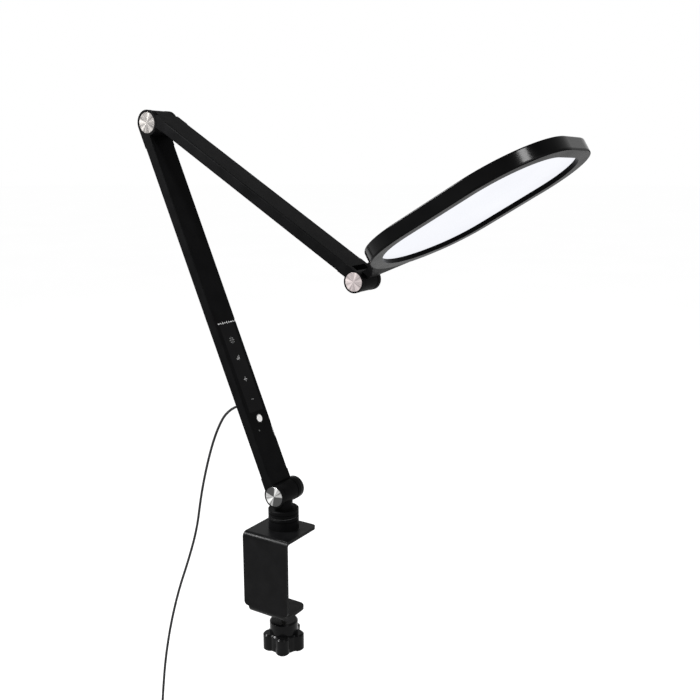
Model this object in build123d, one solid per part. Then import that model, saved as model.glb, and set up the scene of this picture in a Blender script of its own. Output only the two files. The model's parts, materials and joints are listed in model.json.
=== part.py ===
from build123d import *
import math
import os

# Clamp-on task lamp: a table clamp, two folding arms and a flat lit head.
# Millimetres, +Z up. The origin is on the underside of the upper jaw, where it rests on
# the table, on the swivel axis. All hinge axes run along Y; the clamp's mouth opens to +Y.

# ---- arms and pose at rest -------------------------------------------------------------
ARM_W = 35.0            # arm width, along the hinge axes
ARM_T = 11.8            # arm thickness
ARM_WALL = 1.5          # wall of the aluminium tube
LOWER_RUN = 438.8       # base axis to elbow axis, along the tube
UPPER_RUN = 314.6       # elbow axis to head axis, along the tube
LOWER_LEAN = 23.1       # degrees, lower arm from vertical
UPPER_DROP = 31.2       # degrees, upper arm below horizontal
HEAD_RISE = 30.9        # degrees, head above horizontal
BASE_AXIS_Z = 45.8      # base hinge axis above the table

# ---- hinges ----------------------------------------------------------------------------
BASE_R = 12.9           # radius of the ears at each hinge
ELBOW_R = 14.2
HEAD_R = 11.2
BASE_OFF = 3.3          # hinge axis in front of the tube's middle plane
ELBOW_OFF = 8.3
HEAD_OFF = 4.4
EAR_T = 5.0             # thickness of one ear
WASHER_T = 0.6
RUN_GAP = 0.1           # gap between faces that turn on each other
KNUCKLE_W = ARM_W - 2 * (EAR_T + WASHER_T + RUN_GAP)
KNUCKLE_SLACK = 0.3     # knuckle radius under the ear radius
WEB_GAP = 1.2           # ear radius to the web between the ears
END_BLOCK = 9.0         # solid block between web and tube end
POCKET_GAP = 0.5        # between a knuckle and the pocket that it turns in
POCKET_LIP = 2.0        # the pocket's lips reach this far below the ear radius
CHEEK_Z = 8.0           # start of the cheeks beside a knuckle
PLUG_LONG = 14.0        # part of a fitting that sits in the tube
PLUG_GAP = 0.1
CAP_RIM = 1.4           # narrowest black rim around a silver cap
CAP_MAX_R = 11.6        # one size of cap fits both ends of the lower arm
CAP_T = 1.4
CAP_GROW = 0.05         # a cap's recess is this much wider than the cap
BOLT_R = 3.0
BOLT_HEAD_R = 5.2
BOLT_HEAD_T = 2.0
BOLT_FREE = 0.05        # running clearance of a bolt
FITTING_SCREW_R = 1.25

# ---- clamp -----------------------------------------------------------------------------
PLATE_T = 3.5
PAD_T = 1.5
CLAMP_W = 60.0
CLAMP_FRONT_Y = -36.7   # outer face of the spine
UPPER_JAW_Y = 22.8      # far edges of the two jaws
LOWER_JAW_Y = 10.0
LOWER_JAW_Z = -92.0     # underside of the lower jaw
TONGUE_HALF_W = 24.0    # the lower jaw is a narrower tongue of the same sheet
TONGUE_Z = -83.0        # where it starts on the spine
UPPER_BEND_R = 6.0      # outer radii of the sheet's bends
LOWER_BEND_R = 10.0
SCREW_Y = -3.0
SCREW_R = 2.95
MOUTH_GAP = 2.6         # between the two pads as drawn
PRESS_PAD_T = 1.5
PRESS_T = 4.0
NUT_R = 6.5
NUT_LONG = 6.0
PRESS_R = 12.0
HUB_R = 16.3
HUB_TOP_Z = -107.5
STAR_TOP_Z = -122.0
STAR_BOTTOM_Z = -142.5
STAR_R = 24.3
LOBE_R = 8.0
CORE_R = 18.5
LOBES = 5
FIRST_LOBE = -59.0      # degrees about Z

# ---- swivel ----------------------------------------------------------------------------
COLLAR_R = 17.2
COLLAR_TOP_Z = 18.6
FLANGE_TOP_Z = 28.0
NECK_R = 10.5
PIN_R = 7.9
BUSH_R = 10.0
TENSION_KNOB_T = 6.2

# ---- controls on the lower arm, by their distance along it from the base axis ----------
PANEL_Z = (96.0, 200.0)
PANEL_HALF_W = 12.0
PANEL_T = 0.8
BUTTON_Z = 87.4
BUTTON_R = 4.3
SOCKET_Z = 73.0
GLAND_Z = 108.0
GLAND_Y = 8.0
GLAND_LONG = 19.5

# ---- head ------------------------------------------------------------------------------
HEAD_HALF_W = 92.0
HEAD_NEAR_Z = 107.0     # centre of the corner arcs at the hinge end
HEAD_NEAR_R = 65.0
HEAD_NEAR_TURN = 50.0   # degrees of the corner arc before the wide end arc
HEAD_FAR_Z = 175.3      # centre of the corner arcs at the far end
HEAD_FAR_R = 72.7
HEAD_TOP_X = -10.6      # in the head's frame +X is the lit side's normal
HEAD_SEAM_X = 1.0
HEAD_FACE_X = 3.0
BEZEL_W = 12.2
RECESS = 4.6            # diffuser below the bezel's face
SHELL_T = 2.0

# ---- power lead ------------------------------------------------------------------------
CORD_R = 1.5
FLOOR_Z = -260.0        # the surface that the loose length lies on
COIL_X, COIL_Y = -92.0, -120.0
COIL_MEAN_R = 18.0
COIL_HALF_W = 6.2
COIL_H = 12.4
TIE_T = 0.4
ADAPTER_X = (-20.0, 28.0)
ADAPTER_Y = -142.0
ADAPTER_HALF_W = 17.0
ADAPTER_H = 25.0
RELIEF_LONG = 20.0      # strain relief on the adapter
RELIEF_UP = 7.0         # its axis above the floor


def frame(x, z, turn):
    """A frame with its axes turned about Y; +Z then runs along a member."""
    return Location((x, 0, z), (0, turn, 0))


LOWER = frame(0, BASE_AXIS_Z, -LOWER_LEAN)
ELBOW_X = ELBOW_OFF - BASE_OFF
UPPER = LOWER * frame(ELBOW_X, LOWER_RUN, LOWER_LEAN + 90 + UPPER_DROP)
HEAD_X = HEAD_OFF - ELBOW_OFF
HEAD = UPPER * frame(HEAD_X, UPPER_RUN, -UPPER_DROP - HEAD_RISE)


def block(x0, x1, y0, y1, z0, z1):
    size = Box(x1 - x0, y1 - y0, z1 - z0)
    return Pos((x0 + x1) / 2, (y0 + y1) / 2, (z0 + z1) / 2) * size


def rod_z(radius, z0, z1, x=0.0, y=0.0):
    return Pos(x, y, (z0 + z1) / 2) * Cylinder(radius, z1 - z0)


def rod_y(radius, y0, y1, x=0.0, z=0.0):
    return Pos(x, (y0 + y1) / 2, z) * Rot(90, 0, 0) * Cylinder(radius, y1 - y0)


def rod_x(radius, x0, x1, y=0.0, z=0.0):
    return Pos((x0 + x1) / 2, y, z) * Rot(0, 90, 0) * Cylinder(radius, x1 - x0)


def save(name, shape, place=Location()):
    moved = place * shape
    export_step(moved, f"parts/{name}.step")
    print(f"{name:22s} {moved.volume:10.1f} mm3")


def both_sides(shape):
    """The shape and its mirror image across the arm's middle plane."""
    return [shape, shape.mirror(Plane.XZ)]


# ---- clamp -----------------------------------------------------------------------------

def clamp_bracket():
    top_z = PAD_T + PLATE_T
    half = CLAMP_W / 2
    spine_y = CLAMP_FRONT_Y + PLATE_T
    body = block(-half, half, CLAMP_FRONT_Y, UPPER_JAW_Y, PAD_T, top_z)
    body += block(-half, half, CLAMP_FRONT_Y, spine_y, LOWER_JAW_Z, top_z)
    body += block(-half, half, CLAMP_FRONT_Y, LOWER_JAW_Y, LOWER_JAW_Z, LOWER_JAW_Z + PLATE_T)
    for bend, outer_r in ((0, LOWER_BEND_R), (-1, UPPER_BEND_R)):
        for face_y, radius in ((CLAMP_FRONT_Y, outer_r), (spine_y, outer_r - PLATE_T)):
            along_x = body.edges().filter_by(Axis.X)
            on_face = along_x.filter_by_position(Axis.Y, face_y - 0.1, face_y + 0.1)
            body = fillet(on_face.sort_by(Axis.Z)[bend], radius)
    for side in (-1, 1):
        outside = sorted([side * TONGUE_HALF_W, side * (half + 1)])
        body -= block(*outside, CLAMP_FRONT_Y - 1, LOWER_JAW_Y + 1, LOWER_JAW_Z - 1, TONGUE_Z)
    corners = body.edges().filter_by(Axis.Y).filter_by_position(Axis.Z, TONGUE_Z - 0.1, TONGUE_Z + 0.1)
    body = fillet(corners.filter_by_position(Axis.X, -half - 0.1, -half + 0.1), 5.0)
    corners = body.edges().filter_by(Axis.Y).filter_by_position(Axis.Z, TONGUE_Z - 0.1, TONGUE_Z + 0.1)
    body = fillet(corners.filter_by_position(Axis.X, half - 0.1, half + 0.1), 5.0)
    for jaw_y, corner_r in ((UPPER_JAW_Y, 6.0), (LOWER_JAW_Y, 10.0)):
        upright = body.edges().filter_by(Axis.Z)
        body = fillet(upright.filter_by_position(Axis.Y, jaw_y - 0.1, jaw_y + 0.1), corner_r)
    body -= rod_z(5.0, LOWER_JAW_Z - 1, LOWER_JAW_Z + PLATE_T + 1, y=SCREW_Y)
    for x, y in collar_screw_places():
        body -= rod_z(1.6, PAD_T - 1, top_z + 1, x, y)
        body -= Pos(x, y, PAD_T + 0.9) * Cone(3.2, 1.6, 1.8)
    return body


def collar_screw_places():
    reach = (BUSH_R + COLLAR_R) / 2
    turns = [math.radians(90 + 120 * i) for i in range(3)]
    return [(reach * math.cos(t), reach * math.sin(t)) for t in turns]


def collar_screws():
    screws = []
    for x, y in collar_screw_places():
        head = Pos(x, y, PAD_T + 0.85) * Cone(3.0, 1.5, 1.7)
        shank = rod_z(1.5, PAD_T + 1.6, PAD_T + PLATE_T + 7.0, x, y)
        screws.append(head + shank)
    return Compound(children=screws)


def jaw_pad():
    pad = block(-26, 26, CLAMP_FRONT_Y + 9, UPPER_JAW_Y - 3, 0, PAD_T)
    return fillet(pad.edges().filter_by(Axis.Z), 5.0)


def clamp_nut():
    boss = rod_z(NUT_R, LOWER_JAW_Z - NUT_LONG, LOWER_JAW_Z, y=SCREW_Y)
    boss += rod_z(5.0, LOWER_JAW_Z, LOWER_JAW_Z + PLATE_T, y=SCREW_Y)
    boss = chamfer(boss.edges().group_by(Axis.Z)[0], 0.8)
    return boss - rod_z(SCREW_R + BOLT_FREE, LOWER_JAW_Z - 20, LOWER_JAW_Z + 20, y=SCREW_Y)


PRESS_TOP_Z = -MOUTH_GAP - PRESS_PAD_T
PRESS_LOW_Z = PRESS_TOP_Z - PRESS_T
SCREW_TOP_Z = PRESS_TOP_Z - 1.5


def pressure_plate():
    plate = rod_z(PRESS_R, PRESS_LOW_Z, PRESS_TOP_Z, y=SCREW_Y)
    plate = chamfer(plate.edges().group_by(Axis.Z)[0], 1.2)
    plate -= rod_z(SCREW_R + BOLT_FREE, PRESS_LOW_Z - 1, SCREW_TOP_Z + BOLT_FREE, y=SCREW_Y)
    return plate


def pressure_pad():
    return rod_z(PRESS_R, PRESS_TOP_Z, -MOUTH_GAP, y=SCREW_Y)


def clamp_screw():
    screw = rod_z(SCREW_R, STAR_BOTTOM_Z + 12, SCREW_TOP_Z, y=SCREW_Y)
    return chamfer(screw.edges().group_by(Axis.Z)[-1], 0.6)


def screw_clip():
    top = PRESS_LOW_Z - RUN_GAP
    ring = rod_z(5.0, top - 1.0, top, y=SCREW_Y)
    return ring - rod_z(SCREW_R, top - 2, top + 1, y=SCREW_Y)


def clamp_knob():
    knob = rod_z(CORE_R, STAR_BOTTOM_Z, STAR_TOP_Z)
    for i in range(LOBES):
        turn = FIRST_LOBE + 360 / LOBES * i
        lobe = rod_z(LOBE_R, STAR_BOTTOM_Z, STAR_TOP_Z, x=STAR_R - LOBE_R)
        knob += Rot(0, 0, turn) * lobe
    knob = fillet(knob.edges().filter_by(Axis.Z), 2.0)
    ends = knob.edges().group_by(Axis.Z)
    knob = chamfer(ends[0] + ends[-1], 1.6)
    hub = rod_z(HUB_R, STAR_TOP_Z - 1, HUB_TOP_Z)
    knob += chamfer(hub.edges().group_by(Axis.Z)[-1], 1.8)
    knob = Pos(0, SCREW_Y, 0) * knob
    knob -= rod_z(SCREW_R, STAR_BOTTOM_Z + 12, HUB_TOP_Z + 1, y=SCREW_Y)
    return knob


# ---- swivel ----------------------------------------------------------------------------

def collar():
    base_z = PAD_T + PLATE_T
    body = rod_z(COLLAR_R, base_z, COLLAR_TOP_Z)
    body = chamfer(body.edges().group_by(Axis.Z)[-1], 0.8)
    body -= rod_z(BUSH_R, base_z - 1, COLLAR_TOP_Z + 1)
    body -= rod_z(COLLAR_R + 1, 14.6, 15.6) - rod_z(COLLAR_R - 0.8, 14, 16)
    for x, y in collar_screw_places():
        body -= rod_z(1.5, base_z - 1, base_z + 7.5, x, y)
    return body


def collar_bushing():
    return rod_z(BUSH_R, 10.0, COLLAR_TOP_Z) - rod_z(PIN_R + BOLT_FREE, 9, COLLAR_TOP_Z + 1)


def swivel_washer():
    washer = rod_z(COLLAR_R - 1.2, COLLAR_TOP_Z, COLLAR_TOP_Z + WASHER_T)
    return washer - rod_z(PIN_R + BOLT_FREE, COLLAR_TOP_Z - 1, COLLAR_TOP_Z + 2)


def swivel_pin():
    pin = rod_z(PIN_R, 7.0, FLANGE_TOP_Z - 2)
    pin -= rod_z(PIN_R + 1, 8.4, 9.6) - rod_z(PIN_R - 1, 8, 10)
    return pin


def swivel_ring():
    return rod_z(BUSH_R - 0.4, 8.45, 9.55) - rod_z(PIN_R - 1, 8, 10)


def swivel_yoke():
    low = COLLAR_TOP_Z + WASHER_T + RUN_GAP
    radius = BASE_R - KNUCKLE_SLACK
    body = rod_z(COLLAR_R, low, FLANGE_TOP_Z)
    rims = body.edges().group_by(Axis.Z)
    body = chamfer(rims[0] + rims[-1], 0.8)
    body += rod_z(NECK_R, FLANGE_TOP_Z - 1, BASE_AXIS_Z)
    body += rod_y(radius, -KNUCKLE_W / 2, KNUCKLE_W / 2, z=BASE_AXIS_Z)
    body -= rod_y(BOLT_R + BOLT_FREE, -ARM_W, ARM_W, z=BASE_AXIS_Z)
    body -= rod_z(PIN_R, low - 1, FLANGE_TOP_Z - 2)
    body -= rod_z(COLLAR_R + 1, 23.0, 23.8) - rod_z(COLLAR_R - 0.7, 22, 25)
    return body


# ---- hinge hardware, in a frame whose Y axis is the hinge axis -------------------------

def hinge_bolt(far_y=ARM_W / 2 - CAP_T):
    """Bolt with a head under the near cap and a nut, or a knob, at the far end."""
    near = -ARM_W / 2 + CAP_T
    bolt = rod_y(BOLT_R, near, far_y)
    bolt += rod_y(BOLT_HEAD_R, near, near + BOLT_HEAD_T)
    if far_y < ARM_W / 2:
        bolt += rod_y(BOLT_HEAD_R, far_y - BOLT_HEAD_T, far_y)
    return bolt


def cap_radius(ear_radius):
    return min(ear_radius - CAP_RIM, CAP_MAX_R)


def cap(ear_radius):
    """Silver cap, flush in its ear, with a softened edge."""
    disc = rod_y(cap_radius(ear_radius), -ARM_W / 2, -ARM_W / 2 + CAP_T)
    return chamfer(disc.edges().group_by(Axis.Y)[0], 0.4)


def washers(radius):
    inner = KNUCKLE_W / 2 + RUN_GAP
    ring = rod_y(radius - 1.5, inner, inner + WASHER_T) - rod_y(BOLT_R + 0.1, 0, ARM_W)
    return Compound(children=both_sides(ring))


# ---- arm fittings: the axis is at the frame's origin, the tube starts at +Z ------------

def tube_start(radius):
    return radius + WEB_GAP + END_BLOCK


def tube_plug(radius, tube_x):
    half_t = ARM_T / 2 - ARM_WALL - PLUG_GAP
    half_w = ARM_W / 2 - ARM_WALL - PLUG_GAP
    z0 = tube_start(radius)
    plug = block(tube_x - half_t, tube_x + half_t, -half_w, half_w, z0, z0 + PLUG_LONG)
    lead_hole = rod_z(2.6, z0 - END_BLOCK - 1, z0 + PLUG_LONG + 1, x=tube_x)
    return plug, lead_hole


def fitting_screw_places(radius):
    z = tube_start(radius) + PLUG_LONG / 2
    return [(-ARM_W / 4, z), (ARM_W / 4, z)]


def screw_shank(side, tube_x, depth, y, z):
    """A shank that goes in from the tube's -X face (side -1) or its +X face (side 1)."""
    face = tube_x + side * ARM_T / 2
    ends = sorted([face, face - side * depth])
    return rod_x(FITTING_SCREW_R, ends[0], ends[1], y, z)


def drilled_for_screws(body, radius, tube_x, side):
    for y, z in fitting_screw_places(radius):
        body -= screw_shank(side, tube_x, 6.0, y, z)
    return body


def fork(radius, tube_x, side, far_recess=True, lip=POCKET_LIP):
    """Two round ears, a web with a pocket, and a plug for the tube; its screws go in from one side."""
    half_t = ARM_T / 2
    half_w = ARM_W / 2
    web_z = radius + WEB_GAP
    ear = rod_y(radius, -half_w, -half_w + EAR_T)
    ear += block(tube_x - half_t, tube_x + half_t, -half_w, -half_w + EAR_T, 0, web_z)
    ears = both_sides(ear)
    solid_end = block(tube_x - half_t, tube_x + half_t, -half_w, half_w, radius - lip, tube_start(radius))
    inner_w = half_w - EAR_T
    solid_end -= rod_y(radius - KNUCKLE_SLACK + POCKET_GAP, -inner_w, inner_w)
    plug, lead_hole = tube_plug(radius, tube_x)
    body = ears[0] + ears[1] + solid_end + plug - lead_hole
    body -= rod_y(BOLT_R + 0.1, -ARM_W, ARM_W)
    recess = rod_y(cap_radius(radius) + CAP_GROW, -half_w - 1, -half_w + CAP_T)
    recess += rod_y(BOLT_HEAD_R + 0.1, -half_w, -half_w + CAP_T + BOLT_HEAD_T)
    body -= recess
    if far_recess:
        body -= recess.mirror(Plane.XZ)
    return drilled_for_screws(body, radius, tube_x, side)


def knuckle(radius, tube_x, side):
    """One round middle knuckle, a full-width block, and a plug for the tube."""
    half_t = ARM_T / 2
    half_w = ARM_W / 2
    half_k = KNUCKLE_W / 2
    web_z = radius + WEB_GAP
    body = rod_y(radius - KNUCKLE_SLACK, -half_k, half_k)
    body += block(tube_x - half_t, tube_x + half_t, -half_k, half_k, 0, web_z)
    body = body & block(-radius, radius, -half_k, half_k, -radius, web_z)
    wide_end = block(tube_x - half_t, tube_x + half_t, -half_w, half_w, CHEEK_Z, tube_start(radius))
    ear_room = rod_y(radius + POCKET_GAP, half_k, half_w + 1)
    wide_end -= ear_room + ear_room.mirror(Plane.XZ)
    plug, lead_hole = tube_plug(radius, tube_x)
    body += wide_end + plug
    body -= lead_hole
    body -= rod_y(BOLT_R + BOLT_FREE, -ARM_W, ARM_W)
    return drilled_for_screws(body, radius, tube_x, side)


def fitting_screws(radius, tube_x, side):
    face = tube_x + side * ARM_T / 2
    ends = sorted([face, face + side * 0.9])
    screws = []
    for y, z in fitting_screw_places(radius):
        head = rod_x(2.3, ends[0], ends[1], y, z)
        screws.append(head + screw_shank(side, tube_x, 5.5, y, z))
    return screws


def arm_tube(z0, z1, tube_x, screw_spots, side):
    """Rectangular aluminium tube with softened long edges, drilled on one face."""
    half_t = ARM_T / 2
    half_w = ARM_W / 2
    outer = block(tube_x - half_t, tube_x + half_t, -half_w, half_w, z0, z1)
    outer = fillet(outer.edges().filter_by(Axis.Z), 1.4)
    inner = block(tube_x - half_t + ARM_WALL, tube_x + half_t - ARM_WALL,
                  -half_w + ARM_WALL, half_w - ARM_WALL, z0 - 1, z1 + 1)
    tube = outer - inner
    face = tube_x + side * half_t
    ends = sorted([tube_x, face + side])
    for y, z in screw_spots:
        tube -= rod_x(FITTING_SCREW_R + 0.1, ends[0], ends[1], y, z)
    return tube


def at_far_end(run, axis_x):
    """Places a fitting at a tube's far end: its axis at axis_x, its tube towards -Z."""
    return Location((axis_x, 0, run), (0, 180, 0))


# ---- lower arm -------------------------------------------------------------------------

LOWER_TUBE_X = -BASE_OFF
UPPER_TUBE_X = -ELBOW_OFF
ELBOW_END = at_far_end(LOWER_RUN, ELBOW_X)
HEAD_END = at_far_end(UPPER_RUN, HEAD_X)


def spots(radius, place=None):
    """Screw holes of one fitting, as (y, z) in the arm's own frame."""
    found = fitting_screw_places(radius)
    if place is None:
        return found
    return [(y, place.position.Z - z) for y, z in found]


def lower_tube():
    z0 = tube_start(BASE_R)
    z1 = LOWER_RUN - tube_start(ELBOW_R)
    tube = arm_tube(z0, z1, LOWER_TUBE_X, spots(BASE_R) + spots(ELBOW_R, ELBOW_END), -1)
    front = LOWER_TUBE_X + ARM_T / 2
    back = LOWER_TUBE_X - ARM_T / 2
    tube -= block(front - PANEL_T, front + 1, -PANEL_HALF_W, PANEL_HALF_W, *PANEL_Z)
    tube -= block(front - 3, front + 1, -8, 8, PANEL_Z[0] + 4, PANEL_Z[1] - 4)
    tube -= rod_x(BUTTON_R + 1.3, front - 3, front + 1, z=BUTTON_Z)
    tube -= socket_hole()
    tube -= rod_x(3.0, back - 1, LOWER_TUBE_X, GLAND_Y, GLAND_Z)
    return tube


def socket_hole():
    half_w = ARM_W / 2
    hole = block(LOWER_TUBE_X - 3.2, LOWER_TUBE_X + 3.2, half_w - 3, half_w + 1, 65.8, 80.2)
    scoop = block(LOWER_TUBE_X + 2.0, LOWER_TUBE_X + 9, half_w - 1.1, half_w + 1, 66.5, 79.5)
    return hole + scoop


def usb_socket():
    """Charging socket: a metal shell, open to the arm's far side, with a tongue."""
    y1 = ARM_W / 2
    y0 = y1 - 15.0
    x0, x1 = LOWER_TUBE_X - 3.0, LOWER_TUBE_X + 3.0
    shell = block(x0, x1, y0, y1, SOCKET_Z - 6.8, SOCKET_Z + 6.8)
    cavity = block(x0 + 0.3, x1 - 0.3, y0 + 1.5, y1 + 1, SOCKET_Z - 6.3, SOCKET_Z + 6.3)
    tongue = block(x1 - 1.6, x1 - 0.3, y0 + 1, y1 - 1.5, SOCKET_Z - 5.4, SOCKET_Z + 5.4)
    return shell - cavity + tongue


def touch_panel():
    front = LOWER_TUBE_X + ARM_T / 2
    inset = 0.05
    return block(front - PANEL_T, front, -PANEL_HALF_W + inset, PANEL_HALF_W - inset,
                 PANEL_Z[0] + inset, PANEL_Z[1] - inset)


def button_ring():
    front = LOWER_TUBE_X + ARM_T / 2
    ring = rod_x(BUTTON_R + 1.25, front - 1.5, front + 0.2, z=BUTTON_Z)
    return ring - rod_x(BUTTON_R + 0.15, front - 3, front + 3, z=BUTTON_Z)


def power_button():
    front = LOWER_TUBE_X + ARM_T / 2
    button = rod_x(BUTTON_R, front - 1.6, front + 0.9, z=BUTTON_Z)
    return chamfer(button.edges().group_by(Axis.X)[-1], 0.4)


def control_board():
    """Board under the panel, with the push switch below the button."""
    front = LOWER_TUBE_X + ARM_T / 2
    board = block(front - 5.2, front - 4.0, -9, 9, 84.0, PANEL_Z[1] - 5)
    switch = block(front - 4.0, front - 2.6, -3, 3, BUTTON_Z - 3, BUTTON_Z + 3)
    return board + switch


def cord_gland():
    """Tapered strain relief on the arm's back, with a flange and a ribbed sleeve."""
    back = LOWER_TUBE_X - ARM_T / 2
    tip = back - GLAND_LONG
    sleeve = Pos((back + tip) / 2, 0, 0) * Rot(0, -90, 0) * Cone(3.4, 2.1, GLAND_LONG)
    body = sleeve + rod_x(5.0, back - 1.6, back) + rod_x(2.9, back, back + 4.0)
    for i in range(4):
        x = back - 4.5 - 3.4 * i
        body -= rod_x(6, x - 0.7, x + 0.7) - rod_x(2.6 - 0.16 * i, x - 1, x + 1)
    return Pos(0, GLAND_Y, GLAND_Z) * body


def tension_knob():
    """Round knob on the far end of the base bolt."""
    y0 = ARM_W / 2 + RUN_GAP
    knob = rod_y(BASE_R - 0.1, y0, y0 + TENSION_KNOB_T)
    knob = fillet(knob.edges().group_by(Axis.Y)[-1], 2.2)
    for i in range(24):
        turn = 360 / 24 * i
        knob -= Rot(0, turn, 0) * rod_y(0.55, y0 + 1.2, y0 + TENSION_KNOB_T - 2.4, x=BASE_R)
    return knob - rod_y(BOLT_R + BOLT_FREE, y0 - 1, y0 + TENSION_KNOB_T - 2)


# ---- head, in its own frame: +Z away from the hinge, +X out of the lit side ------------

def head_outline(inset=0.0):
    """Closed outline: a wide arc at the hinge end, four corner arcs, straight sides."""
    half = HEAD_HALF_W
    turn = HEAD_NEAR_TURN
    near_y = half - HEAD_NEAR_R
    far_y = half - HEAD_FAR_R
    end_reach = near_y / math.cos(math.radians(turn))
    end_centre = HEAD_NEAR_Z + near_y * math.tan(math.radians(turn))
    near_r = HEAD_NEAR_R - inset
    far_r = HEAD_FAR_R - inset
    half -= inset
    far_end = HEAD_FAR_Z + far_r
    lines = [
        Line((HEAD_NEAR_Z, half), (HEAD_FAR_Z, half)),
        CenterArc((HEAD_FAR_Z, far_y), far_r, 0, 90),
        Line((far_end, far_y), (far_end, -far_y)),
        CenterArc((HEAD_FAR_Z, -far_y), far_r, 270, 90),
        Line((HEAD_FAR_Z, -half), (HEAD_NEAR_Z, -half)),
        CenterArc((HEAD_NEAR_Z, -near_y), near_r, 270 - turn, turn),
        CenterArc((end_centre, 0), near_r + end_reach, 90 + turn, 180 - 2 * turn),
        CenterArc((HEAD_NEAR_Z, near_y), near_r, 90, turn),
    ]
    return make_face(lines)


def head_layer(inset, x0, x1):
    """A slab of the head's outline between two levels of its thickness."""
    level = Plane(origin=(x0, 0, 0), x_dir=(0, 0, 1), z_dir=(1, 0, 0))
    return extrude(level * head_outline(inset), x1 - x0)


def back_cover():
    shell = head_layer(0, HEAD_TOP_X, HEAD_SEAM_X)
    shell = fillet(shell.edges().group_by(Axis.X)[0], 1.4)
    shell -= head_layer(SHELL_T, HEAD_TOP_X + SHELL_T, HEAD_SEAM_X + 1)
    shell -= block(-8.7, -6.8, -18.2, 18.2, 25, 60)
    return shell


def bezel():
    ring = head_layer(0, HEAD_SEAM_X, HEAD_FACE_X)
    ring = fillet(ring.edges().group_by(Axis.X)[-1], 0.9)
    ring += head_layer(BEZEL_W - 1.6, HEAD_FACE_X - RECESS, HEAD_SEAM_X)
    return ring - head_layer(BEZEL_W, HEAD_FACE_X - RECESS - 1, HEAD_FACE_X + 1)


def head_stack():
    """The flat layers behind the bezel, from the lit side inwards."""
    face = HEAD_FACE_X - RECESS
    return {
        "diffuser": head_layer(8.6, face - 1.4, face),
        "light_guide": head_layer(8.6, face - 3.8, face - 1.4),
        "reflector": head_layer(8.6, face - 4.1, face - 3.8),
        "backing_plate": head_layer(SHELL_T + 0.6, face - 5.1, face - 4.1),
    }


def led_strips():
    """One strip of lamps along each straight side of the light guide."""
    face = HEAD_FACE_X - RECESS
    side = HEAD_HALF_W - 8.6
    strip = block(face - 3.6, face - 1.6, side + 0.2, side + 1.8, HEAD_NEAR_Z, HEAD_FAR_Z)
    return Compound(children=both_sides(strip))


def head_bracket():
    """Middle knuckle, a flared neck up to the shell, and a tab that goes inside it."""
    half_k = KNUCKLE_W / 2
    radius = HEAD_R - KNUCKLE_SLACK
    body = rod_y(radius, -half_k, half_k)
    outline = [(0, 11.0), (13, 8.5), (17, 9.0), (48, 50), (48, -50), (17, -9.0), (13, -8.5), (0, -11.0)]
    level = Plane(origin=(-6.0, 0, 0), x_dir=(0, 0, 1), z_dir=(1, 0, 0))
    neck = extrude(level * make_face(Polyline(*outline, close=True)), 8.6)
    neck -= head_layer(-0.05, -20, 20)
    body += neck
    body += block(-8.6, -6.9, -18, 18, 22, 72)
    body += block(-8.6, -6.0, -10, 10, 22, 31)
    for y, z in bracket_screw_places():
        body -= rod_x(1.6, -20, 0, y, z)
    return body - rod_y(BOLT_R + BOLT_FREE, -ARM_W, ARM_W)


def bracket_screw_places():
    return [(y, z) for y in (-11, 11) for z in (48, 64)]


def head_screws():
    """Screws through the cover's back into the bracket's tab."""
    screws = []
    for y, z in bracket_screw_places():
        head = rod_x(2.6, HEAD_TOP_X - 0.8, HEAD_TOP_X, y, z)
        screws.append(head + rod_x(1.5, HEAD_TOP_X, -6.95, y, z))
    return Compound(children=screws)


def drilled_cover():
    shell = back_cover()
    for y, z in bracket_screw_places():
        shell -= rod_x(1.6, HEAD_TOP_X - 1, HEAD_TOP_X + SHELL_T + 1, y, z)
    return shell


# ---- power lead, in the part's own frame -----------------------------------------------

CORD_Z = FLOOR_Z + CORD_R
SPLIT = (-112.5, -5, 42)        # above it the lead turns with the lower arm
ARM_ROUTE = [
    (-68.8, 8, 133.9),
    (-85.4, 8, 126.8),
    (-101, 5, 98),
    (-110, -1, 62),
    SPLIT,
]
FALL_ROUTE = [
    SPLIT,
    (-115, -9, 22),
    (-116, -17, -18),
    (-123, -26, -56),
    (-132, -36, -94),
    (-137, -47, -136),
    (-138, -57, -176),
    (-135, -66, -210),
    (-130, -75, -238),
    (-124, -87, -255),
    (-118, -102, CORD_Z),
    (-115, -118, CORD_Z),
]
TAIL_ROUTE = [
    (-82, -140.6, -249.2),
    (-69, -141.5, -254),
    (-54, -142.5, -256.5),
    (-40, -142, FLOOR_Z + RELIEF_UP),
]


def bend_radii(points):
    """Each bend is as large as its two runs allow."""
    radii = []
    for a, b, c in zip(points, points[1:], points[2:]):
        turn = math.radians((b - a).get_angle(c - b))
        radii.append(0.45 * min((b - a).length, (c - b).length) / math.tan(turn / 2))
    return radii


def cord_tube(name, route):
    points = [Vector(*p) for p in route]
    radii = bend_radii(points)
    path = FilletPolyline(*points, radius=radii)
    tube = sweep(Plane(origin=path @ 0, z_dir=path % 0) * Circle(CORD_R), path=path)
    print(name, "bend radii", [round(r) for r in radii], "length", round(path.length))
    print(name, "volume over section times length",
          round(tube.volume / (math.pi * CORD_R ** 2 * path.length), 4))
    return tube


def cord_coil():
    """The outer shape of the wound length."""
    low, high = COIL_MEAN_R - COIL_HALF_W, COIL_MEAN_R + COIL_HALF_W
    z0 = FLOOR_Z + TIE_T
    ring = rod_z(high, z0, z0 + COIL_H) - rod_z(low, z0 - 1, z0 + COIL_H + 1)
    return Pos(COIL_X, COIL_Y, 0) * fillet(ring.edges(), 1.4)


def coil_tie():
    """Narrow strap round the coil's bundle, away from where the lead goes in and out."""
    reach = COIL_HALF_W + TIE_T
    z1 = FLOOR_Z + COIL_H + 2 * TIE_T
    strap = block(-2.5, 2.5, -reach - TIE_T, reach + TIE_T, FLOOR_Z, z1)
    strap -= block(-3, 3, -reach, reach, FLOOR_Z + TIE_T, z1 - TIE_T)
    return Pos(COIL_X, COIL_Y + COIL_MEAN_R, 0) * strap


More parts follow.
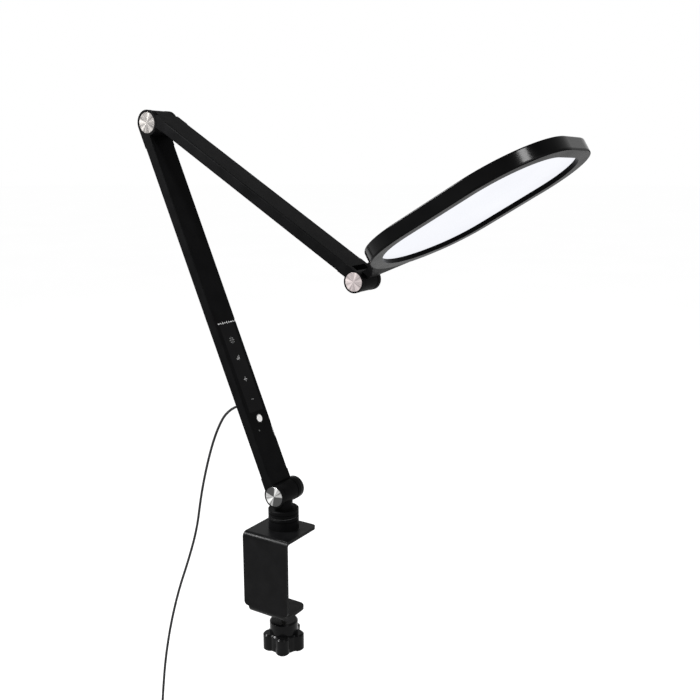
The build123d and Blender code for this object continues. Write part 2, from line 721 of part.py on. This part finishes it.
def adapter():
    x0, x1 = ADAPTER_X
    body = block(x0, x1, ADAPTER_Y - ADAPTER_HALF_W, ADAPTER_Y + ADAPTER_HALF_W,
                 FLOOR_Z, FLOOR_Z + ADAPTER_H)
    return fillet(body.edges(), 3.0)


def adapter_relief():
    """Tapered strain relief where the lead goes into the adapter."""
    x0 = ADAPTER_X[0]
    cone = Pos(x0 - RELIEF_LONG / 2, 0, 0) * Rot(0, 90, 0) * Cone(2.1, 3.6, RELIEF_LONG)
    for i in range(4):
        x = x0 - 4.0 - 3.4 * i
        cone -= rod_x(6, x - 0.7, x + 0.7) - rod_x(2.8 - 0.16 * i, x - 1, x + 1)
    return Pos(0, ADAPTER_Y, FLOOR_Z + RELIEF_UP) * cone


def adapter_pins():
    x1 = ADAPTER_X[1]
    z = FLOOR_Z + ADAPTER_H / 2
    pin = block(x1, x1 + 17, ADAPTER_Y + 5.6, ADAPTER_Y + 7.1, z - 3.2, z + 3.2)
    return Compound(children=[pin, Pos(0, -12.7, 0) * pin])


# ---- all nodes -------------------------------------------------------------------------

def save_clamp():
    save("clamp_bracket", clamp_bracket())
    save("jaw_pad", jaw_pad())
    save("collar", collar())
    save("collar_bushing", collar_bushing())
    save("collar_screws", collar_screws())
    save("clamp_nut", clamp_nut())
    save("pressure_plate", pressure_plate())
    save("pressure_pad", pressure_pad())
    save("clamp_screw", clamp_screw())
    save("screw_clip", screw_clip())
    save("clamp_knob", clamp_knob())


def save_swivel():
    save("swivel_yoke", swivel_yoke())
    save("swivel_pin", swivel_pin())
    save("swivel_washer", swivel_washer())
    save("swivel_ring", swivel_ring())


def save_lower_arm():
    save("lower_tube", lower_tube(), LOWER)
    save("lower_base_fork", fork(BASE_R, LOWER_TUBE_X, -1, far_recess=False), LOWER)
    save("base_bolt", hinge_bolt(ARM_W / 2 + TENSION_KNOB_T - 3), LOWER)
    save("base_cap", cap(BASE_R), LOWER)
    save("base_washers", washers(BASE_R), LOWER)
    save("tension_knob", tension_knob(), LOWER)
    elbow_side = LOWER * ELBOW_END
    elbow_tube_x = ELBOW_OFF
    save("lower_elbow_fork", fork(ELBOW_R, elbow_tube_x, 1), elbow_side)
    save("elbow_bolt", hinge_bolt(), elbow_side)
    save("elbow_caps", Compound(children=both_sides(cap(ELBOW_R))), elbow_side)
    save("elbow_washers", washers(ELBOW_R), elbow_side)
    base_screws = fitting_screws(BASE_R, LOWER_TUBE_X, -1)
    elbow_screws = [ELBOW_END * s for s in fitting_screws(ELBOW_R, elbow_tube_x, 1)]
    save("lower_screws", Compound(children=base_screws + elbow_screws), LOWER)
    save("touch_panel", touch_panel(), LOWER)
    save("button_ring", button_ring(), LOWER)
    save("power_button", power_button(), LOWER)
    save("control_board", control_board(), LOWER)
    save("usb_socket", usb_socket(), LOWER)
    save("cord_gland", cord_gland(), LOWER)


def save_upper_arm():
    z0 = tube_start(ELBOW_R)
    z1 = UPPER_RUN - tube_start(HEAD_R)
    places = spots(ELBOW_R) + spots(HEAD_R, HEAD_END)
    save("upper_tube", arm_tube(z0, z1, UPPER_TUBE_X, places, 1), UPPER)
    save("upper_elbow_knuckle", knuckle(ELBOW_R, UPPER_TUBE_X, 1), UPPER)
    head_side = UPPER * HEAD_END
    save("upper_head_fork", fork(HEAD_R, HEAD_OFF, -1, lip=-WEB_GAP), head_side)
    save("head_bolt", hinge_bolt(), head_side)
    save("head_caps", Compound(children=both_sides(cap(HEAD_R))), head_side)
    save("head_washers", washers(HEAD_R), head_side)
    near_screws = fitting_screws(ELBOW_R, UPPER_TUBE_X, 1)
    far_screws = [HEAD_END * s for s in fitting_screws(HEAD_R, HEAD_OFF, -1)]
    save("upper_screws", Compound(children=near_screws + far_screws), UPPER)


def save_head():
    save("head_bracket", head_bracket(), HEAD)
    save("back_cover", drilled_cover(), HEAD)
    save("bezel", bezel(), HEAD)
    for name, shape in head_stack().items():
        save(name, shape, HEAD)
    save("led_strips", led_strips(), HEAD)
    save("head_screws", head_screws(), HEAD)


def save_lead():
    save("cord_arm", cord_tube("cord_arm", ARM_ROUTE))
    save("cord_fall", cord_tube("cord_fall", FALL_ROUTE))
    save("cord_coil", cord_coil())
    save("coil_tie", coil_tie())
    save("cord_tail", cord_tube("cord_tail", TAIL_ROUTE))
    save("adapter", adapter())
    save("adapter_relief", adapter_relief())
    save("adapter_pins", adapter_pins())


os.makedirs("parts", exist_ok=True)
save_clamp()
save_swivel()
save_lower_arm()
save_upper_arm()
save_head()
save_lead()
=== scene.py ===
import json
import math

import bmesh
import bpy
from mathutils import Matrix, Vector


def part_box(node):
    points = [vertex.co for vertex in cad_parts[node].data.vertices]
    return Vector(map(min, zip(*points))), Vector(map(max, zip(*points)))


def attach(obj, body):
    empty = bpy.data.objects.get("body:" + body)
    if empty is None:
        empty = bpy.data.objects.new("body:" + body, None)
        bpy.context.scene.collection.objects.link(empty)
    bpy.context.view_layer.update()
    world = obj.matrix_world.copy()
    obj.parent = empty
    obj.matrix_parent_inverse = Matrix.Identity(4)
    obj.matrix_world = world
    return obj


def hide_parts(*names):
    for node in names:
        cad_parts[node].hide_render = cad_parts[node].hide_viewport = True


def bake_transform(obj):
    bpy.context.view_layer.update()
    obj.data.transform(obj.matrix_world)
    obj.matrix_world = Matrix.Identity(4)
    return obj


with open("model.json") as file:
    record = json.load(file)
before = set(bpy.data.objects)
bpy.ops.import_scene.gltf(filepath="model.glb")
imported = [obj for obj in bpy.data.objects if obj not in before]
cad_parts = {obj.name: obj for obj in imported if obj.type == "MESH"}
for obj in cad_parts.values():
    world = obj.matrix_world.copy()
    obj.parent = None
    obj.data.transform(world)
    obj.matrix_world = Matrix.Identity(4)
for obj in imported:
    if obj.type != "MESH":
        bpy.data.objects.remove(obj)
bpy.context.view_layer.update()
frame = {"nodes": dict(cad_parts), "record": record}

# ---- sizes shared with the CAD model, in metres ----------------------------------------
LEAN = math.radians(23.1)               # lower arm from vertical
BASE_AXIS = Vector((0, 0, 0.0458))
ARM_FRONT = 0.0026                      # front face of the lower arm, from its base axis
CORD_R = 0.0015
FLOOR_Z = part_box("adapter")[0].z
COIL_CENTRE = Vector((-0.092, -0.120))
COIL_OUT_R, COIL_IN_R = 0.0226, 0.0134
COIL_TURNS = 11.25
TURNS_PER_LAYER = 3
LAYER_RISE = 2.04 * CORD_R              # from one layer of the coil to the next
CLIMB_TURN = 0.3                        # part of a turn in which the cord climbs that far
TIE_T = 0.0004
RING_PITCH = 0.0006                     # lathe rings of the hinge caps


# ---- camera and stage ------------------------------------------------------------------

def make_camera():
    data = bpy.data.cameras.new("camera")
    data.sensor_width = 36
    data.lens = 44.5
    data.clip_start = 0.02
    camera = bpy.data.objects.new("camera", data)
    camera.location = (0.55328, -0.7373, 0.39997)
    camera.rotation_euler = (math.radians(78.25), 0, math.radians(32.22))
    bpy.context.scene.collection.objects.link(camera)
    bpy.context.scene.camera = camera
    return camera


def area_light(name, target, towards, distance, size, radiance):
    """A square soft light at a distance from target, with this brightness over its face."""
    data = bpy.data.lights.new(name, "AREA")
    data.shape = "SQUARE"
    data.size = size
    data.energy = radiance * math.pi * size * size
    light = bpy.data.objects.new(name, data)
    direction = Vector(towards).normalized()
    light.location = Vector(target) + distance * direction
    light.rotation_euler = direction.to_track_quat("Z", "Y").to_euler()
    light.visible_camera = False
    bpy.context.scene.collection.objects.link(light)


def make_lights():
    clamp = (0, -0.034, 0.004)
    head_end = (0.295, -0.071, 0.411)
    area_light("key", clamp, (-0.57, -0.40, 0.72), 1.4, 0.4, 105)
    area_light("head_light", head_end, (0.69, -0.30, 0.64), 1.5, 0.3, 90)


def make_world():
    """White near the horizon, dimmer overhead."""
    world = bpy.data.worlds.new("studio")
    world.use_nodes = True
    tree = world.node_tree
    direction = add(tree, "ShaderNodeSeparateXYZ")
    tree.links.new(add(tree, "ShaderNodeTexCoord").outputs["Generated"], direction.inputs[0])
    sky = tree.nodes["Background"]
    sky.inputs["Color"].default_value = (1, 1, 1, 1)
    tree.links.new(value_between(tree, direction.outputs["Z"], 1.0, 0.3), sky.inputs["Strength"])
    bpy.context.scene.world = world


def make_floor():
    mesh = bpy.data.meshes.new("floor")
    bm = bmesh.new()
    bmesh.ops.create_circle(bm, cap_ends=True, radius=40, segments=96)
    bm.to_mesh(mesh)
    bm.free()
    floor = bpy.data.objects.new("floor", mesh)
    floor.location = (0, 0, FLOOR_Z - 0.0002)
    floor.data.materials.append(floor_white())
    bpy.context.scene.collection.objects.link(floor)


# ---- materials -------------------------------------------------------------------------

def new_material(name):
    material = bpy.data.materials.new(name)
    material.use_nodes = True
    tree = material.node_tree
    return material, tree, tree.nodes["Principled BSDF"]


def add(tree, kind, **values):
    node = tree.nodes.new(kind)
    for key, value in values.items():
        if key in node.inputs:
            node.inputs[key].default_value = value
        else:
            setattr(node, key, value)
    return node


def object_point(tree):
    return add(tree, "ShaderNodeTexCoord").outputs["Object"]


def noise(tree, point, scale, detail=3.0):
    node = add(tree, "ShaderNodeTexNoise", Scale=scale, Detail=detail)
    tree.links.new(point, node.inputs["Vector"])
    return node.outputs["Fac"]


def colour_between(tree, factor, low, high, start=0.3, stop=0.7):
    """The colour goes from low to high while factor goes from start to stop."""
    ramp = add(tree, "ShaderNodeValToRGB")
    ramp.color_ramp.elements[0].position = start
    ramp.color_ramp.elements[1].position = stop
    ramp.color_ramp.elements[0].color = (*low, 1)
    ramp.color_ramp.elements[1].color = (*high, 1)
    tree.links.new(factor, ramp.inputs["Fac"])
    return ramp.outputs["Color"]


def value_between(tree, factor, low, high):
    node = tree.nodes.new("ShaderNodeMapRange")
    node.inputs["From Min"].default_value = 0.3
    node.inputs["From Max"].default_value = 0.7
    node.inputs["To Min"].default_value = low
    node.inputs["To Max"].default_value = high
    tree.links.new(factor, node.inputs["Value"])
    return node.outputs["Result"]


def bump_from(tree, height, depth):
    node = add(tree, "ShaderNodeBump", Strength=1.0, Distance=depth)
    tree.links.new(height, node.inputs["Height"])
    return node.outputs["Normal"]


def grained(name, low, high, rough, patch, grain, depth, metallic=0.0, specular=0.5, coat=0.0):
    """A surface whose colour and roughness drift in patches, with a fine raised grain."""
    material, tree, shader = new_material(name)
    point = object_point(tree)
    patches = noise(tree, point, patch)
    fine = noise(tree, point, grain, 2.0)
    links = tree.links
    links.new(colour_between(tree, patches, low, high), shader.inputs["Base Color"])
    links.new(value_between(tree, patches, *rough), shader.inputs["Roughness"])
    links.new(bump_from(tree, fine, depth), shader.inputs["Normal"])
    shader.inputs["Metallic"].default_value = metallic
    shader.inputs["Specular IOR Level"].default_value = specular
    shader.inputs["Coat Weight"].default_value = coat
    shader.inputs["Coat Roughness"].default_value = 0.08
    return material


def black(level):
    return (level, level, level * 1.06)


def floor_white():
    material, tree, shader = new_material("floor_white")
    soft = noise(tree, object_point(tree), 1.5)
    tint = colour_between(tree, soft, (0.14, 0.14, 0.14), (0.16, 0.16, 0.16))
    tree.links.new(tint, shader.inputs["Base Color"])
    shader.inputs["Roughness"].default_value = 0.9
    shader.inputs["Specular IOR Level"].default_value = 0.0
    shader.inputs["Emission Color"].default_value = (1, 1, 1, 1)
    shader.inputs["Emission Strength"].default_value = 0.92
    return material


def arm_black():
    """Satin coated extrusion."""
    return grained("arm_black", black(0.002), black(0.003), (0.4, 0.5), 60, 4200, 0.00002,
                   specular=0.014)


def hinge_black():
    return grained("hinge_black", black(0.002), black(0.003), (0.4, 0.5), 90, 3000, 0.00002,
                   specular=0.014)


def clamp_paint():
    """Powder coat, with a slight orange peel."""
    return grained("clamp_paint", black(0.0015), black(0.003), (0.3, 0.38), 70, 1600, 0.00004,
                   specular=0.045)


def head_gloss():
    return grained("head_gloss", black(0.001), black(0.002), (0.14, 0.2), 40, 900, 0.000004,
                   specular=0.045)


def bezel_black():
    return grained("bezel_black", black(0.002), black(0.003), (0.24, 0.3), 50, 1500, 0.00001,
                   specular=0.015)


def knob_plastic():
    return grained("knob_plastic", black(0.002), black(0.004), (0.16, 0.24), 80, 1200, 0.00001,
                   specular=0.07)


def adapter_plastic():
    return grained("adapter_plastic", black(0.008), black(0.014), (0.45, 0.6), 120, 2600, 0.00006,
                   specular=0.3)


def rubber():
    return grained("rubber", black(0.008), black(0.014), (0.6, 0.75), 150, 2200, 0.00008, specular=0.15)


def cord_black():
    return grained("cord_black", black(0.006), black(0.012), (0.4, 0.5), 200, 3000, 0.00003,
                   specular=0.2)


def tie_black():
    return grained("tie_black", black(0.015), black(0.025), (0.5, 0.6), 300, 5000, 0.00005,
                   specular=0.3)


def nylon():
    return grained("nylon", black(0.02), black(0.03), (0.35, 0.45), 200, 3000, 0.00002)


def steel():
    return grained("steel", (0.42, 0.41, 0.39), (0.52, 0.51, 0.49), (0.22, 0.34), 250, 3500, 0.00001,
                   metallic=1.0)


def plate_metal():
    return grained("plate_metal", (0.5, 0.5, 0.5), (0.6, 0.6, 0.6), (0.3, 0.4), 60, 3500, 0.00001,
                   metallic=1.0)


def button_metal():
    return grained("button_metal", (0.67, 0.66, 0.65), (0.76, 0.75, 0.74), (0.3, 0.38), 400, 9000, 0.000005,
                   metallic=0.6)


def touch_glass():
    return grained("touch_glass", black(0.003), black(0.004), (0.2, 0.26), 50, 2000, 0.000004,
                   specular=0.03)


def ink(name, low, high):
    """Grey ink printed under the touch panel's surface and on the arm beside it."""
    return grained(name, (low, low, low), (high, high, high), (0.4, 0.5), 900, 6000, 0.000004,
                   specular=0.2)


def circuit_board():
    return grained("circuit_board", (0.01, 0.08, 0.03), (0.02, 0.12, 0.05), (0.3, 0.4), 300, 2500, 0.00003)


def light_guide():
    return grained("light_guide", (0.85, 0.88, 0.9), (0.92, 0.94, 0.95), (0.08, 0.14), 80, 800, 0.000004)


def reflector_white():
    return grained("reflector_white", (0.86, 0.86, 0.86), (0.92, 0.92, 0.92), (0.5, 0.6), 80, 2500, 0.00001)


def diffuser_white():
    """Milky sheet, lit from behind: slightly uneven, as a lit sheet is."""
    material, tree, shader = new_material("diffuser_white")
    point = object_point(tree)
    cloud = noise(tree, point, 14)
    grain = noise(tree, point, 2500, 2.0)
    glow = colour_between(tree, cloud, (0.83, 0.84, 0.89), (0.86, 0.87, 0.91))
    tree.links.new(glow, shader.inputs["Emission Color"])
    milk = colour_between(tree, cloud, (0.05, 0.05, 0.05), (0.06, 0.06, 0.06))
    tree.links.new(milk, shader.inputs["Base Color"])
    tree.links.new(bump_from(tree, grain, 0.00001), shader.inputs["Normal"])
    tree.links.new(value_between(tree, grain, 0.5, 0.6), shader.inputs["Roughness"])
    shader.inputs["Specular IOR Level"].default_value = 0.02
    shader.inputs["Emission Strength"].default_value = 1.0
    return material


def round_axis(tree, centre):
    """The direction of each point from a hinge axis, which runs along Y."""
    away = add(tree, "ShaderNodeVectorMath", operation="SUBTRACT")
    tree.links.new(object_point(tree), away.inputs[0])
    away.inputs[1].default_value = centre
    flat = add(tree, "ShaderNodeVectorMath", operation="MULTIPLY")
    tree.links.new(away.outputs[0], flat.inputs[0])
    flat.inputs[1].default_value = (1, 0, 1)
    unit = add(tree, "ShaderNodeVectorMath", operation="NORMALIZE")
    tree.links.new(flat.outputs[0], unit.inputs[0])
    return unit.outputs[0], flat.outputs[0]


def weighted_sum(tree, first, second, weight):
    """first + weight * second"""
    node = add(tree, "ShaderNodeMath", operation="MULTIPLY_ADD")
    tree.links.new(second, node.inputs[0])
    node.inputs[1].default_value = weight
    tree.links.new(first, node.inputs[2])
    return node.outputs[0]


def spun_metal_painted_sheen(name, centre, low, high, highlight_band=0.0, start=0.3, stop=0.7):
    """Lathe-turned aluminium with a painted reflection: its base colour is lighter and darker in rays from
    the axis, standing in for the sheen of the turned surface.

    A nonzero band weight adds a painted highlight to the base colour: a bright pair of wedges, up to the
    right and down to the left.
    """
    material, tree, shader = new_material(name)
    links = tree.links
    unit, flat = round_axis(tree, centre)
    rays = noise(tree, unit, 2.6, 1.0)
    parts = add(tree, "ShaderNodeSeparateXYZ")
    links.new(unit, parts.inputs[0])
    highlight_wedge = add(tree, "ShaderNodeMath", operation="MULTIPLY")
    links.new(parts.outputs["X"], highlight_wedge.inputs[0])
    links.new(parts.outputs["Z"], highlight_wedge.inputs[1])
    # painted reflection: the base colour follows rays about the axis, plus the painted highlight wedges
    sheen = weighted_sum(tree, rays, highlight_wedge.outputs[0], highlight_band)
    links.new(colour_between(tree, sheen, low, high, start, stop), shader.inputs["Base Color"])
    reach = add(tree, "ShaderNodeVectorMath", operation="LENGTH")
    links.new(flat, reach.inputs[0])
    rings = add(tree, "ShaderNodeMath", operation="SINE")
    turns = add(tree, "ShaderNodeMath", operation="MULTIPLY")
    links.new(reach.outputs["Value"], turns.inputs[0])
    turns.inputs[1].default_value = 2 * math.pi / RING_PITCH
    links.new(turns.outputs[0], rings.inputs[0])
    links.new(bump_from(tree, rings.outputs[0], 0.000006), shader.inputs["Normal"])
    links.new(value_between(tree, rays, 0.24, 0.36), shader.inputs["Roughness"])
    shader.inputs["Metallic"].default_value = 1.0
    return material


def hinge_centre(node):
    low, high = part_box(node)
    return (low + high) / 2


def cap_metal():
    # the colours span the painted reflection rays, from dark to light
    return spun_metal_painted_sheen("cap_metal", hinge_centre("elbow_caps"), (0.18, 0.17, 0.165), (0.44, 0.42, 0.4))


def head_cap_metal():
    # the colours span the painted reflection rays, from dark to light
    return spun_metal_painted_sheen("head_cap_metal", hinge_centre("head_caps"), (0.34, 0.3, 0.3), (0.7, 0.62, 0.61))


def base_cap_metal():
    # painted highlight: a bright diagonal pair of wedges on near-black sectors of the base colour, standing
    # in for the turned cap's reflection
    return spun_metal_painted_sheen("base_cap_metal", hinge_centre("base_cap"), (0.06, 0.06, 0.06), (0.76, 0.76, 0.75),
                      highlight_band=0.42, start=0.46, stop=0.84)


MATERIALS = {
    "arm_black": arm_black, "hinge_black": hinge_black, "clamp_paint": clamp_paint,
    "head_gloss": head_gloss, "bezel_black": bezel_black, "knob_plastic": knob_plastic,
    "adapter_plastic": adapter_plastic, "rubber": rubber, "cord_black": cord_black,
    "tie_black": tie_black, "nylon": nylon, "steel": steel, "plate_metal": plate_metal,
    "button_metal": button_metal, "touch_glass": touch_glass, "circuit_board": circuit_board,
    "light_guide": light_guide, "reflector_white": reflector_white,
    "diffuser_white": diffuser_white, "cap_metal": cap_metal,
}


def dress(obj, material):
    obj.data.materials.clear()
    obj.data.materials.append(material)


def dress_nodes():
    made = {slot: build() for slot, build in MATERIALS.items()}
    for row in frame["record"]["subparts"]:
        dress(frame["nodes"][row["node"]], made[row["material_slot"]])
    dress(frame["nodes"]["head_caps"], head_cap_metal())
    dress(frame["nodes"]["base_cap"], base_cap_metal())
    return made


# ---- printed marks on the lower arm ----------------------------------------------------

MARK_LIFT = 0.00004                     # marks stand this far off the arm's front face
MARK_T = 0.00006                        # thickness of a mark
STROKE = 0.0007                         # width of a symbol's lines


def arm_place(along, across):
    """Where a mark lies: along the lower arm from its base axis, and across it."""
    turn = Matrix.Rotation(-LEAN, 4, "Y")
    spot = Vector((ARM_FRONT + MARK_LIFT, across, along))
    return Matrix.Translation(BASE_AXIS) @ turn @ Matrix.Translation(spot)


def stroke(bm, middle, half_long, half_wide, turn):
    """A flat bar with round ends, in the (across, along) plane of a mark."""
    ends = 6
    outline = []
    for side in (1, -1):
        for i in range(ends + 1):
            angle = math.pi * (i / ends - 0.5)
            outline.append((side * (half_long - half_wide + half_wide * math.cos(angle)),
                            side * half_wide * math.sin(angle)))
    c, s = math.cos(turn), math.sin(turn)
    corners = [(middle[0] + c * u - s * v, middle[1] + s * u + c * v) for u, v in outline]
    extrude_mark(bm, corners)


def extrude_mark(bm, corners):
    bottom = [bm.verts.new((0, y, z)) for y, z in corners]
    top = [bm.verts.new((MARK_T, y, z)) for y, z in corners]
    count = len(corners)
    bm.faces.new(bottom[::-1])
    bm.faces.new(top)
    for i in range(count):
        j = (i + 1) % count
        bm.faces.new((bottom[i], bottom[j], top[j], top[i]))


def ring_mark(bm, radius, steps=24):
    """A circle drawn with short joined strokes."""
    half = math.pi * radius / steps + STROKE / 2
    for i in range(steps):
        angle = 2 * math.pi * i / steps
        spot = (radius * math.cos(angle), radius * math.sin(angle))
        stroke(bm, spot, half, STROKE / 2, angle + math.pi / 2)


def sun_mark(bm):
    """Brightness: a ring with eight rays."""
    rays, reach = 8, 0.0031
    ring_mark(bm, 0.0014)
    for i in range(rays):
        angle = 2 * math.pi * i / rays
        stroke(bm, (reach * math.cos(angle), reach * math.sin(angle)), 0.0008, STROKE / 2, angle)


def steps_mark(bm):
    """Colour of the light: three bars of growing height."""
    for i in range(3):
        half = 0.0012 + 0.0007 * i
        stroke(bm, ((i - 1) * 0.0019, half - 0.0026), half, STROKE / 2, math.pi / 2)


def plus_mark(bm):
    for turn in (0, math.pi / 2):
        stroke(bm, (0, 0), 0.0027, STROKE / 2, turn)


def minus_mark(bm):
    stroke(bm, (0, 0), 0.0022, STROKE / 2, 0)


def row_mark(bm):
    """A row of short bars across the arm, above the panel."""
    first, pitch = -0.0122, 0.0035
    for i in range(9):
        half = 0.0014 if i % 2 == 0 else 0.001
        turn = math.pi / 2 if i % 3 else 0
        stroke(bm, (first + pitch * i, 0), half, 0.0006, turn)


def lamp_mark(bm):
    """Pilot window beside the charging socket."""
    stroke(bm, (0, 0), 0.0011, 0.0008, 0)


def trim_mark(bm):
    """Light trim along the arm's edge, beside the charging socket."""
    stroke(bm, (0, 0), 0.0072, 0.0006, math.pi / 2)


MARKS = {
    "mark_row": (row_mark, 0.2012, 0.0, "bright"),
    "mark_brightness": (sun_mark, 0.1803, 0.0, "dim"),
    "mark_colour": (steps_mark, 0.1596, 0.0, "middle"),
    "mark_plus": (plus_mark, 0.134, 0.0, "middle"),
    "mark_minus": (minus_mark, 0.1101, 0.0, "dim"),
    "mark_pilot": (lamp_mark, 0.0744, -0.0067, "faint"),
    "mark_trim": (trim_mark, 0.0687, 0.016, "bright"),
}


def make_marks():
    inks = {
        "bright": ink("ink_bright", 0.4, 0.55),
        "middle": ink("ink_middle", 0.24, 0.34),
        "dim": ink("ink_dim", 0.14, 0.2),
        "faint": ink("ink_faint", 0.05, 0.08),
    }
    for name, (draw, along, across, shade) in MARKS.items():
        bm = bmesh.new()
        draw(bm)
        bmesh.ops.recalc_face_normals(bm, faces=bm.faces)
        mesh = bpy.data.meshes.new(name)
        bm.to_mesh(mesh)
        bm.free()
        mesh.transform(arm_place(along, across))
        mark = bpy.data.objects.new(name, mesh)
        bpy.context.scene.collection.objects.link(mark)
        dress(mark, inks[shade])
        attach(mark, "lower_arm")


# ---- power lead ------------------------------------------------------------------------

CORD_ROUTE = [
    (-0.0688, 0.008, 0.1339),
    (-0.0854, 0.008, 0.1268),
    (-0.101, 0.005, 0.098),
    (-0.110, -0.001, 0.062),
    (-0.115, -0.009, 0.022),
    (-0.116, -0.017, -0.018),
    (-0.123, -0.026, -0.056),
    (-0.132, -0.036, -0.094),
    (-0.137, -0.047, -0.136),
    (-0.138, -0.057, -0.176),
    (-0.135, -0.066, -0.210),
    (-0.130, -0.075, -0.238),
    (-0.124, -0.087, -0.255),
    (-0.118, -0.102, -0.2585),
]
TAIL_ROUTE = [
    (-0.082, -0.1406, -0.2492),
    (-0.069, -0.1415, -0.254),
    (-0.054, -0.1425, -0.2565),
    (-0.040, -0.142, -0.253),
]


def coil_points():
    """Turns wound in layers: inwards, up a layer, outwards, and so on."""
    per_turn = 16
    points = []
    for i in range(int(COIL_TURNS * per_turn) + 1):
        turns = i / per_turn
        layer, within = divmod(turns, TURNS_PER_LAYER)
        share = within / TURNS_PER_LAYER
        share = share if layer % 2 == 0 else 1 - share
        radius = COIL_OUT_R + (COIL_IN_R - COIL_OUT_R) * share
        step = round(turns / TURNS_PER_LAYER)
        near = (turns - step * TURNS_PER_LAYER) / CLIMB_TURN + 0.5
        climbed = layer if not 0 <= near <= 1 or step == 0 else step - 1 + near
        angle = math.pi + 2 * math.pi * turns
        x = COIL_CENTRE.x + radius * math.cos(angle)
        y = COIL_CENTRE.y + radius * math.sin(angle)
        points.append((x, y, FLOOR_Z + TIE_T + CORD_R + LAYER_RISE * climbed))
    return points


def smooth_line(name, points, radius):
    """A NURBS curve with these control points."""
    curve = bpy.data.curves.new(name, "CURVE")
    curve.dimensions = "3D"
    curve.resolution_u = 6
    curve.bevel_depth = radius
    curve.bevel_resolution = 3
    curve.use_fill_caps = True
    spline = curve.splines.new("NURBS")
    spline.points.add(len(points) - 1)
    for spot, point in zip(spline.points, points):
        spot.co = (*point, 1)
    spline.order_u = 3
    spline.use_endpoint_u = True
    return bpy.data.objects.new(name, curve)


def as_mesh(name, curve_object):
    bpy.context.scene.collection.objects.link(curve_object)
    bpy.context.view_layer.update()
    evaluated = curve_object.evaluated_get(bpy.context.evaluated_depsgraph_get())
    mesh = bpy.data.meshes.new_from_object(evaluated)
    mesh.name = name
    bpy.data.objects.remove(curve_object)
    return mesh


def make_cord(material):
    points = CORD_ROUTE + coil_points() + TAIL_ROUTE
    line = as_mesh("cord_line", smooth_line("cord_line", points, 0.0))
    bpy.data.meshes.remove(line)
    mesh = as_mesh("power_cord", smooth_line("cord_tube", points, CORD_R))
    cord = bpy.data.objects.new("power_cord", mesh)
    bpy.context.scene.collection.objects.link(cord)
    for face in mesh.polygons:
        face.use_smooth = True
    dress(cord, material)
    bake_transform(cord)
    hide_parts("cord_arm", "cord_fall", "cord_coil", "cord_tail")


# ---- the scene -------------------------------------------------------------------------

make_camera()
make_world()
make_lights()
make_floor()
materials = dress_nodes()
make_marks()
make_cord(materials["cord_black"])
bpy.context.scene.view_settings.view_transform = "Standard"
